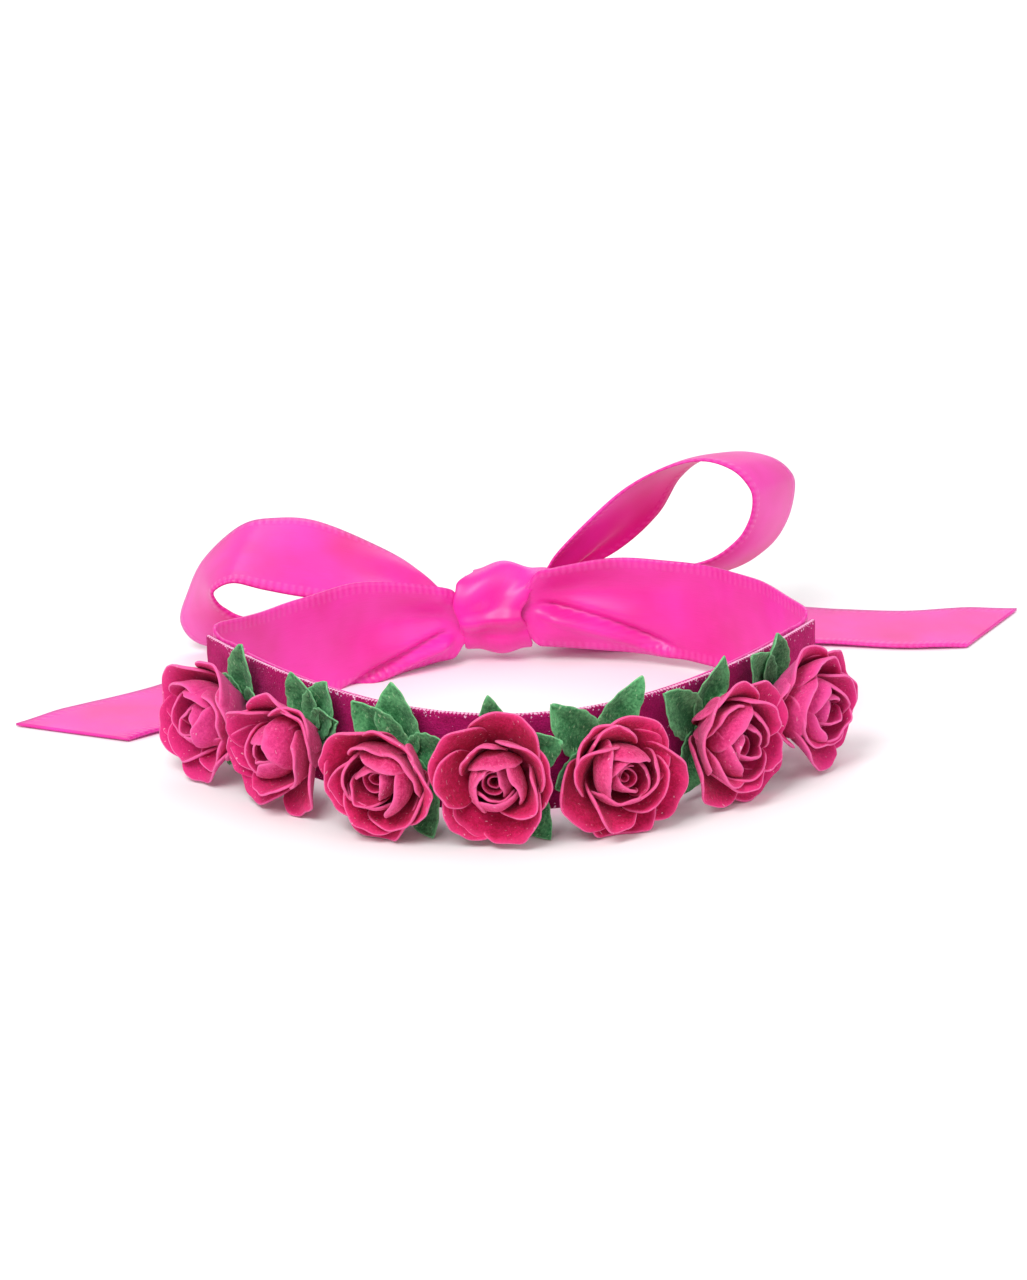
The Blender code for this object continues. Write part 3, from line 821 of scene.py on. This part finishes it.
@dataclass
class Knot:
    """The bow's knot: a bunched core, and a turn of ribbon folded round it."""

    middle: Vector
    length: float = 0.0186
    height: float = 0.0162
    depth: float = 0.0104
    wall: float = 0.0006
    left_border: tuple[tuple[float, float], ...] = (
        (-90, -0.0105), (-50, -0.0108), (-15, -0.0116), (20, -0.0133), (50, -0.0125),
        (90, -0.0085), (135, -0.0085), (180, -0.0098), (230, -0.0103), (270, -0.0105),
    )
    right_border: tuple[tuple[float, float], ...] = (
        (-90, 0.0048), (-50, 0.0050), (-18, 0.0040), (6, 0.0024), (30, 0.0044),
        (60, 0.0080), (95, 0.0096), (135, 0.0072), (180, 0.0040), (230, 0.0042), (270, 0.0046),
    )

    def core(self, finish: Finish) -> Piece:
        """Builds the bunched ribbon inside the knot, as a pleated barrel along X."""
        maker = bmesh.new()
        half = self.length / 2
        squeeze = self.depth / self.height
        shape = [(0.0, 1.0), (0.0040, 1.0), (0.0066, 0.93), (0.0082, 0.74), (0.0080, 0.4)]
        shape += [(radius, -share) for radius, share in reversed(shape)]
        outline = [maker.verts.new((radius, 0, half * share)) for radius, share in shape]
        edges = [maker.edges.new(pair) for pair in zip(outline, outline[1:])]
        bmesh.ops.spin(maker, geom=outline + edges, cent=(0, 0, 0), axis=(0, 0, 1),
                       angle=math.tau, steps=72, use_merge=True)
        bmesh.ops.remove_doubles(maker, verts=maker.verts, dist=1e-6)
        bmesh.ops.subdivide_edges(maker, edges=maker.edges, cuts=1, use_grid_fill=True)
        for vert in maker.verts:
            angle = math.atan2(vert.co.y, vert.co.x)
            reach = math.hypot(vert.co.x, vert.co.y)
            fold = 0.10 * math.sin(6 * angle + 90 * vert.co.z) + 0.05 * math.sin(11 * angle - 160 * vert.co.z)
            grown = reach * (0.93 + fold * ease(abs(vert.co.z), 0.002, half))
            folded = Vector((vert.co.z, math.cos(angle) * grown * squeeze, math.sin(angle) * grown))
            vert.co = self.middle + folded
        bmesh.ops.recalc_face_normals(maker, faces=maker.faces)
        cloth = maker.loops.layers.uv.new("cloth")
        for face in maker.faces:
            face.smooth = True
            for loop in face.loops:
                spot = (loop.vert.co - self.middle) * 1000
                loop[cloth].uv = (12.5 + spot.z * 0.6, spot.x)
        piece = mesh_piece(maker, "knot_bunch", [finish])
        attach(piece, "crown")
        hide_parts("knot_core")
        return piece

    def wrap(self, finish: Finish) -> Piece:
        """Builds the turn of ribbon round the core, creased across its front."""
        half_height = self.height / 2 + 0.0009
        half_depth = self.depth / 2 + 0.0009

        def place(across: float, along: float) -> Vector:
            """Returns a point of the wrap: across runs along X, and along turns about it."""
            angle = -90 + 360 * along
            turn = math.radians(angle)
            left = table_value(self.left_border, angle)
            right = table_value(self.right_border, angle)
            x = left + (right - left) * across
            fold = math.sin(math.tau * (1.3 * across + 0.15 - 0.40 * math.sin(turn))) * 0.00062
            middle = 1 - (2 * across - 1) ** 4
            swell = 0.0007 * middle + fold * middle
            crease = 0.0013 * math.exp(-((angle + 4 - 10 * (across - 0.5)) / 9) ** 2)
            crease -= 0.0009 * math.exp(-((angle + 24 - 10 * (across - 0.5)) / 8) ** 2)
            peak = 0.0010 * math.exp(-((angle - 92) / 26) ** 2) * math.exp(-((across - 0.42) / 0.30) ** 2)
            squared = 1 / (abs(math.cos(turn)) ** 3 + abs(math.sin(turn)) ** 3) ** (1 / 3)
            reach_y = half_depth * (1 + 0.10 * (squared - 1)) + swell + crease
            reach_z = half_height * (1 + 0.35 * (squared - 1)) + swell + peak
            y = self.middle.y - math.cos(turn) * reach_y
            return Vector((x, y, self.middle.z + math.sin(turn) * reach_z))

        sheet = SheetMaker()
        sheet.patch(20, 96, place, (16.0, 52.0), start=4.5)
        bmesh.ops.remove_doubles(sheet.maker, verts=sheet.maker.verts, dist=1e-5)
        bmesh.ops.recalc_face_normals(sheet.maker, faces=sheet.maker.faces)
        piece = sheet.finish("knot_turn", [finish], "crown", self.wall, rounding=1)
        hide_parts("knot_wrap")
        return piece


# Roses


@dataclass(frozen=True)
class Petal:
    """One petal: where it stands about the rose's axis, and how it opens, hollows and curls."""

    root: float
    foot: float
    reach: float
    width: float
    open_foot: float
    open_rim: float
    hollow: float
    flare: float = 0.0
    turn: float = 0.0
    roll: float = 0.0
    seed: float = 0.0

    def outline(self, across: float, along: float) -> tuple[float, float]:
        """Maps the grid onto a round petal with a narrower foot.

        Args:
            across: The share from side to side.
            along: The share from foot to rim.

        Returns:
            The distance from the petal's middle line in metres, and the share of its reach.
        """
        side, rise = 2 * across - 1, 2 * along - 1
        reach = (1 + rise * math.sqrt(1 - 0.46 * side * side)) / 2
        sideways = side * math.sqrt(1 - 0.46 * rise * rise)
        sideways *= 0.62 + 0.44 * ease(reach, 0.0, 0.62)
        wave = 0.06 * ripple(side * 2.1, 0.3, self.seed) + 0.018 * ripple(side * 6, 0.8, self.seed)
        lobe = 1 + 0.09 * ripple(0.7 + side, along * 2.0, self.seed)
        return sideways * lobe * self.width / 2, reach * (1 + wave * along)

    def spine(self, along: float) -> tuple[float, float, float]:
        """Returns the radius, the height and the lean in radians at this share of the petal's reach."""
        steps = 14
        radius, height = self.root, self.foot
        lean = math.radians(self.open_foot)
        for step in range(steps):
            share = along * (step + 0.5) / steps
            lean = math.radians(self.open_foot + (self.open_rim - self.open_foot) * share
                                + self.flare * max(0.0, (share - 0.72) / 0.28) ** 2)
            radius += self.reach * along / steps * math.sin(lean)
            height += self.reach * along / steps * math.cos(lean)
        return radius, height, lean

    def place(self, across: float, along: float) -> Vector:
        """Returns the petal's point in the rose's frame, where +Z leads away from the band."""
        side = 2 * across - 1
        arc, reach = self.outline(across, along)
        radius, height, lean = self.spine(reach)
        hollow = self.hollow * (1 + 0.5 * (1 - along))
        sideways = hollow * math.sin(arc / hollow)
        inward = hollow * (1 - math.cos(arc / hollow))
        inward += 0.0013 * ripple(side * 1.3, along * 1.6, self.seed + 4) * along
        inward += 0.00045 * ripple(side * 4.0, along * 4.0, self.seed + 9) * along
        roll = math.radians(self.roll)
        sideways, inward = (sideways * math.cos(roll) - inward * math.sin(roll),
                            inward * math.cos(roll) + sideways * math.sin(roll))
        outward, tangent = plan_axes(self.turn)
        normal = outward * -math.cos(lean) + Vector((0, 0, math.sin(lean)))
        return outward * radius + Vector((0, 0, height)) + tangent * sideways + normal * inward


OUTER_PETAL = Petal(root=0.0012, foot=0.0022, reach=0.0172, width=0.0182, open_foot=58, open_rim=38,
                    hollow=0.0105, flare=38)
MIDDLE_PETAL = Petal(root=0.0012, foot=0.0034, reach=0.0160, width=0.0152, open_foot=62, open_rim=16,
                     hollow=0.0078, flare=30)
CLOSED_PETAL = Petal(root=0.0010, foot=0.0044, reach=0.0154, width=0.0142, open_foot=74, open_rim=-42,
                     hollow=0.0068)
TIGHT_PETAL = Petal(root=0.0008, foot=0.0058, reach=0.0122, width=0.0104, open_foot=56, open_rim=-34,
                    hollow=0.0046)


@dataclass(frozen=True)
class Leaf:
    """One leaf of the calyx: its direction, how far it reaches, its width and how its tip lifts."""

    turn: float
    reach: float
    width: float = 0.0106
    lift: float = 0.003
    seed: float = 0.0

    def place(self, across: float, along: float) -> Vector:
        """Returns the leaf's point in the rose's frame."""
        side = 2 * across - 1
        point = math.sin(math.pi * min(1.0, 0.16 + 0.84 * along) ** 0.95) ** 0.8 if along < 1 else 0.0
        width = self.width / 2 * max(0.03, point)
        teeth = 1 + 0.10 * math.sin(along * 34 + self.seed) * abs(side) ** 3
        radius = 0.0012 + (self.reach - 0.0012) * along
        sideways = side * width * teeth + 0.0012 * ripple(along * 2.0, 0.2, self.seed) * along
        fold = abs(side) * width * 0.35
        height = 0.0009 + self.lift * along**2 + fold
        height += 0.0009 * ripple(side * 1.2, along * 3.0, self.seed + 5) * along
        outward, tangent = plan_axes(self.turn)
        return outward * radius + tangent * sideways + Vector((0, 0, height))


@dataclass
class Rose:
    """A paper rose: open outer petals, closed inner ones, a rolled heart and a leafy calyx."""

    number: int
    leaves: tuple[Leaf, ...]
    start: float = 90.0
    lean_x: float = 0.0
    lean_y: float = 0.0
    push: float = 1.0
    size: float = 1.0
    squeeze: float = 0.96
    table_space: float = 0.0004

    def __post_init__(self) -> None:
        """Finds the rose's frame from its CAD pieces: the bud on its axis and the calyx on the velvet."""
        bud, leaf = (frame["nodes"][f"rose_{self.number}_{part}"].data.vertices for part in ("bud", "calyx"))
        middle = sum((vert.co for vert in bud), Vector()) / len(bud)
        foot = sum((vert.co for vert in leaf), Vector()) / len(leaf)
        normal = Vector((middle.x - foot.x, middle.y - foot.y, 0)).normalized()
        nearest = min(vert.co.dot(normal) for vert in leaf) - GAP
        base = middle + normal * (nearest - middle.dot(normal))
        side = Vector((0, 0, 1)).cross(normal)
        self.pose = Matrix.Translation(base) @ turned_to(side, Vector((0, 0, 1)), normal)
        self.chance = random.Random(self.number * 13 + 5)

    def world(self, point: Vector) -> Vector:
        """Returns the rose's point in the crown's frame, leaned with the rose and kept above the table."""
        reach = max(0.0, point.z) / 0.016
        across, up = point.x * self.squeeze * self.size, point.y * self.size
        shaped = Vector((across + self.lean_x * reach, up + self.lean_y * reach, point.z * self.push))
        placed = self.pose @ shaped
        placed.z = max(placed.z, self.table_space)
        return placed

    def vary(self, amount: float) -> float:
        """Returns a number within plus or minus this amount."""
        return self.chance.uniform(-amount, amount)

    def layer(self, count: int, start: float, base: Petal, loose: float) -> list[Petal]:
        """Sets petals round the axis.

        Args:
            count: How many there are.
            start: The first one's direction in degrees, counted from the rose's own start.
            base: The petal that they all vary.
            loose: How much they vary, from 0 to 1.

        Returns:
            The petals.
        """
        petals = []
        for index in range(count):
            petals.append(Petal(
                turn=self.start + start + 360 / count * index + self.vary(12 * loose),
                root=base.root + self.vary(0.0004 * loose),
                foot=base.foot + 0.00035 * (index % 2) + self.vary(0.0002 * loose),
                reach=base.reach * (1 + self.vary(0.06 * loose)),
                width=base.width * (1 + self.vary(0.10 * loose)),
                open_foot=base.open_foot + self.vary(5 * loose),
                open_rim=base.open_rim + self.vary(16 * loose),
                hollow=base.hollow * (1 + self.vary(0.22 * loose)),
                flare=base.flare + self.vary(16 * loose),
                roll=base.roll + self.vary(10 * loose),
                seed=self.number * 10 + index + base.foot * 1e4,
            ))
        return petals

    def petal_piece(self, name: str, node: str, petals: Sequence[Petal], thickness: float,
                    finishes: Sequence[Finish]) -> Piece:
        """Builds some petals as one piece.

        Args:
            name: The piece's name.
            node: The CAD node that it stands for.
            petals: The petals.
            thickness: The paper's thickness.
            finishes: The paper outside, inside and at the rim.

        Returns:
            The piece.
        """
        sheet = SheetMaker()
        for petal in petals:
            # The tone paints shade at the petals' feet, deep in the rose, and a painted highlight towards
            # their rims and side edges.
            sheet.patch(10, 11, lambda across, along, petal=petal: self.world(petal.place(across, along)),
                        tone=lambda across, along: max(along, abs(2 * across - 1) ** 3 * min(1, along * 1.6)))
        piece = sheet.finish(f"rose_{self.number}_{name}", finishes, "crown", thickness, rounding=1)
        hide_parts(f"rose_{self.number}_{node}")
        return piece

    def build(self, finishes: Finishes) -> None:
        """Builds the rose's pieces.

        Args:
            finishes: The crown's finishes.
        """
        paper = [finishes.petal_out, finishes.petal_in, finishes.petal_rim]
        outer = self.layer(5, 0, OUTER_PETAL, 1)
        middle = self.layer(5, 38, MIDDLE_PETAL, 1.5)
        petals = self.petal_piece("open_petals", "outer_petals", outer + middle, 0.00075, paper)
        closed = self.layer(4, 15, CLOSED_PETAL, 1)
        tight = self.layer(3, 60, TIGHT_PETAL, 1)
        heart = self.petal_piece("closed_petals", "inner_petals", closed + tight, 0.0007, paper)
        self.roll(paper)
        self.calyx(finishes.leaf)

    def roll(self, paper: Sequence[Finish]) -> Piece:
        """Builds the rolled strip at the rose's heart."""
        start = math.radians(self.start)

        def place(across: float, along: float) -> Vector:
            """Returns the strip's point: across winds it inwards, and along rises to its rim."""
            turn = start + math.tau * 1.9 * across
            radius = 0.0031 - 0.0024 * across + 0.00045 * ripple(across * 6, along, self.number)
            radius *= 0.75 + 0.25 * along
            rim = 0.0142 - 0.0016 * across + 0.0010 * ripple(across * 7, 0.5, self.number + 3)
            height = 0.0060 + (rim - 0.0060) * along
            return self.world(Vector((radius * math.cos(turn), radius * math.sin(turn), height)))

        sheet = SheetMaker()
        sheet.patch(52, 7, place)
        piece = sheet.finish(f"rose_{self.number}_rolled_heart", paper, "crown", 0.0005, rounding=1)
        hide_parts(f"rose_{self.number}_bud")
        return piece

    def calyx(self, finish: Finish) -> Piece:
        """Builds the leaves that spread behind the petals."""
        sheet = SheetMaker()
        seeds = itertools.count(1 + sum(map(len, ROSE_LEAVES[:self.number - 1])))
        for leaf in (replace(leaf, seed=next(seeds)) for leaf in self.leaves):
            # The tone paints shade along the leaves' middles near the calyx and a painted highlight towards
            # their edges and tips.
            sheet.patch(8, 14, lambda across, along, leaf=leaf: self.world(leaf.place(across, along)),
                        tone=lambda across, along: max(along**2, abs(2 * across - 1) ** 2) * 0.95)
        piece = sheet.finish(f"rose_{self.number}_leaves", [finish], "crown", 0.0004, rounding=1)
        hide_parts(f"rose_{self.number}_calyx")
        return piece


ROSE_LEAVES: tuple[tuple[Leaf, ...], ...] = (
    (Leaf(80, 0.0165), Leaf(262, 0.0135, lift=0.004), Leaf(160, 0.012), Leaf(10, 0.0120)),
    (Leaf(104, 0.0150), Leaf(62, 0.0168), Leaf(28, 0.0125), Leaf(240, 0.0130), Leaf(180, 0.0120)),
    (Leaf(133, 0.0165), Leaf(97, 0.0175), Leaf(238, 0.0170, lift=0.006),
     Leaf(304, 0.0175, lift=0.007), Leaf(20, 0.0135)),
    (Leaf(99, 0.0172, width=0.0075), Leaf(24, 0.0160, lift=0.005),
     Leaf(241, 0.0165, lift=0.007), Leaf(306, 0.0195, lift=0.008), Leaf(170, 0.0130)),
    (Leaf(131, 0.0200, width=0.0105), Leaf(64, 0.0205, width=0.0095),
     Leaf(-8, 0.0155, lift=0.005), Leaf(255, 0.0150, lift=0.005), Leaf(200, 0.0130)),
    (Leaf(138, 0.0185), Leaf(72, 0.0170, width=0.0095), Leaf(-38, 0.0160, lift=0.006),
     Leaf(235, 0.0145), Leaf(20, 0.0130)),
    (Leaf(128, 0.0180), Leaf(92, 0.0160), Leaf(225, 0.0140, lift=0.005),
     Leaf(-20, 0.0120)),
)
# Each rose's first petal's direction, lean sideways and up in metres, push outwards and size.
ROSE_SETS: tuple[tuple[float, ...], ...] = (
    (70, -0.0004, -0.0004, 1.04, 1.0),
    (100, -0.0005, -0.0002, 1.04, 1.0),
    (64, -0.0008, -0.0010, 1.10, 1.06),
    (82, -0.0010, 0.0004, 1.0, 1.0),
    (58, 0.0010, -0.0010, 1.02, 1.0),
    (95, 0.0006, -0.0006, 1.06, 1.02),
    (110, 0.0012, 0, 1.12, 1.0),
)


# The whole crown


@dataclass
class Crown:
    """The band, the roses on it, and the ribbon bow behind."""

    def joint_place(self, name: str) -> Vector:
        """Returns the place of a joint's axis."""
        return next(Vector(joint["pos_m"]) for joint in frame["joints"] if joint["name"] == name)

    def knot_middle(self) -> Vector:
        """Returns the middle of the CAD's knot."""
        low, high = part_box("knot_core")
        return (low + high) / 2

    def ribbons(self, knot: Vector) -> list[Ribbon]:
        """Returns every satin ribbon of the crown, from the lining to the tails."""
        return [
            BandRibbon("lining_ribbon", "satin_lining", cloth=Cloth.LINING, columns=8, rows=180,
                       rests_on=("velvet_ribbon",), half_length=BAND_LINE.half_length - TIE_OVERLAP - GAP,
                       offset=LINING_OFFSET),
            Strap("tie_left", "strap_left", knot=knot, end_fall=0.0035, pleat_phase=2.4, valley=0.0024),
            Strap("tie_right", "strap_right", side=Side.RIGHT, knot=knot, bulge=0.015, end_width=0.016,
                  end_fall=-0.001, pleats=1.25, pleat_phase=-0.4, pleat_depth=0.0020, sink=0.0,
                  narrowing=0.42, tucked_in=0.0060, valley=0.0026, brow=0.0016, valley_start=0.50),
            Loop("bow_loop_left", "loop_left", pivot=self.joint_place("loop_left_lift")),
            Loop("bow_loop_right", "loop_right", side=Side.RIGHT, stations=RIGHT_LOOP, reach=0.0488,
                 pivot=self.joint_place("loop_right_lift")),
            Tail("bow_tail_left", "tail_left", pivot=self.joint_place("tail_left_sweep")),
            Tail("bow_tail_right", "tail_right", rows=170, side=Side.RIGHT, stations=RIGHT_TAIL,
                 reach=0.1058, pivot=self.joint_place("tail_right_sweep")),
        ]

    def build(self, finishes: Finishes) -> None:
        """Builds the crown.

        Args:
            finishes: The crown's finishes.
        """
        velvet = BandRibbon("velvet_ribbon", "velvet_band", cloth=Cloth.VELVET, thickness=0.001,
                            columns=26, rows=260, pile=0.00012)
        velvet.build(finishes.velvet)
        self.edge_threads(finishes.thread)
        knot = self.knot_middle()
        for ribbon in self.ribbons(knot):
            piece = ribbon.build(finishes.satin)
            if not ribbon.body:
                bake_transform(piece)
        tied = Knot(knot)
        tied.core(finishes.satin)
        tied.wrap(finishes.satin)
        for number, (leaves, setting) in enumerate(zip(ROSE_LEAVES, ROSE_SETS), 1):
            Rose(number, leaves, *setting).build(finishes)
            stem = frame["nodes"][f"rose_{number}_stem"]
            stem.data.materials.clear()
            stem.data.materials.append(finishes.wire)

    def edge_threads(self, finish: Finish) -> Piece:
        """Builds the velvet's woven edges as rows of small thread loops."""
        maker = bmesh.new()
        chance = random.Random(4)
        count = 210
        for way in (-1, 1):
            for index in range(count):
                along = BAND_LINE.half_length * (2 * (index + 0.5) / count - 1)
                point, normal = BAND_LINE.point(along, 0.0001)
                point.z = BAND_LINE.middle_z + way * (Cloth.VELVET.value / 2 - 0.0001)
                made = bmesh.ops.create_icosphere(maker, subdivisions=1, radius=0.00036)["verts"]
                ahead = Vector((0, 0, 1)).cross(normal)
                turned = turned_to(ahead, normal, Vector((0, 0, 1)))
                stretch = Matrix.Diagonal((1.15 + chance.uniform(-0.2, 0.3), 1.4, 0.9, 1))
                bmesh.ops.transform(maker, matrix=Matrix.Translation(point) @ turned @ stretch, verts=made)
        for face in maker.faces:
            face.smooth = True
        piece = mesh_piece(maker, "velvet_edge_threads", [finish])
        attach(piece, "crown")
        return piece


@dataclass
class Studio:
    """The camera, the soft lights and the pale floor."""

    elevation: float = 19.5
    distance: float = 1.3
    lens: float = 163.4
    roll: float = -1.5
    aim: tuple[float, float, float] = (0.0, 0.0, 0.015)
    shift_side: float = 0.00056
    shift_up: float = 0.00716

    def camera(self) -> None:
        """Makes the camera level with the crown's length and looking down on it."""
        data = bpy.data.cameras.new("camera")
        data.lens = self.lens
        data.sensor_width = 36
        data.clip_start, data.clip_end = 0.05, 20
        camera = linked("camera", data)
        lift = math.radians(self.elevation)
        ahead = Vector((0, math.cos(lift), -math.sin(lift)))
        right = Vector((1, 0, 0))
        up = right.cross(ahead)
        place = Vector(self.aim) - ahead * self.distance + right * self.shift_side + up * self.shift_up
        turned = turned_to(right, up, -ahead)
        tilt = Matrix.Rotation(math.radians(self.roll), 4, "Z")
        camera.matrix_world = Matrix.Translation(place) @ turned @ tilt
        bpy.context.scene.camera = camera

    def light(self, name: str, place: Sequence[float], size: float, power: float) -> None:
        """Makes one square soft light that faces the crown."""
        data = bpy.data.lights.new(name, "AREA")
        data.shape = "SQUARE"
        data.size = size
        data.energy = power
        lamp = linked(name, data)
        lamp.location = place
        lamp.rotation_mode = "QUATERNION"
        lamp.rotation_quaternion = (Vector((0, 0, 0.01)) - Vector(place)).to_track_quat("-Z", "Y")

    def build(self) -> None:
        """Makes the studio."""
        self.camera()
        self.light("key_light", (-0.40, -0.70, 1.0), 0.6, 10.0)
        self.light("fill_light", (0.9, -0.4, 0.7), 0.9, 2.5)
        self.light("back_light", (0.1, 0.9, 0.8), 0.8, 3.0)
        world = bpy.data.worlds.new("studio")
        world.use_nodes = True
        colour, strength = world.node_tree.nodes["Background"].inputs[:2]
        colour.default_value = (1, 1, 1, 1)
        strength.default_value = 0.70
        bpy.context.scene.world = world
        bpy.context.scene.view_settings.view_transform = "Standard"
        maker = bmesh.new()
        bmesh.ops.create_grid(maker, x_segments=1, y_segments=1, size=6)
        paint = PlainFinish("floor_paint", (0.93, 0.93, 0.93, 1), (0.95, 0.95, 0.95, 1), 0.9, 30)
        floor = mesh_piece(maker, "floor", [paint.build()])


def main() -> None:
    """Builds the studio and the crown."""
    logging.basicConfig(level=logging.INFO, format="%(message)s")
    Studio().build()
    Crown().build(Finishes())


if __name__ == "__main__":
    main()
